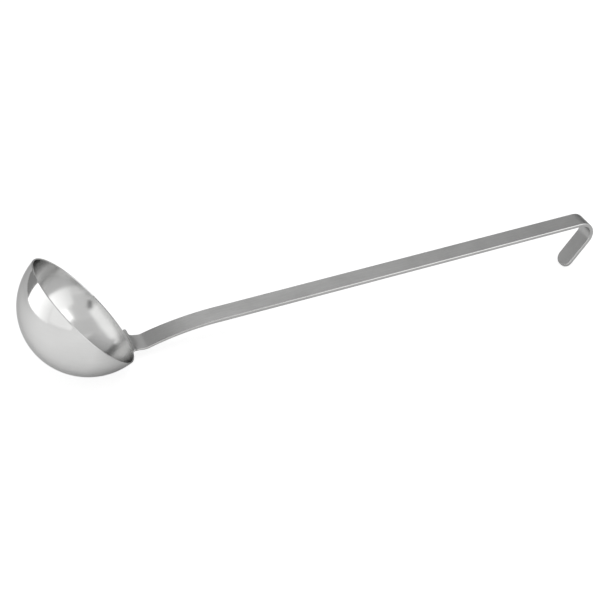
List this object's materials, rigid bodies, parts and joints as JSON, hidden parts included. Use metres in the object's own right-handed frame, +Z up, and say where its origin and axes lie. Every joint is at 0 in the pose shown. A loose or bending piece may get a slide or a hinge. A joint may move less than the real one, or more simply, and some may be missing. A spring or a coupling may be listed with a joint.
{
  "type": "soup ladle",
  "caption": "Stainless steel soup ladle: a deep round bowl on a long flat strip handle, with a flared neck at the rim and an open rail hook at the other end.",
  "frame": {"origin": "on the surface that the ladle lies on, under the middle of its length and on its plane of symmetry", "axes": "+X along the handle from the bowl to the hook, +Z up from the surface, the XZ plane is the plane of symmetry"},
  "size_m": [0.4686, 0.0998, 0.0844],
  "materials": {
    "bowl_steel": "polished outside, satin inside",
    "weld_steel": "ground flush and brushed",
    "handle_steel": "satin, brushed along the strip"
  },
  "bodies": {
    "root": {"bowl": "bowl_steel", "weld_seam": "weld_steel", "handle": "handle_steel"}
  },
  "joints": []
}
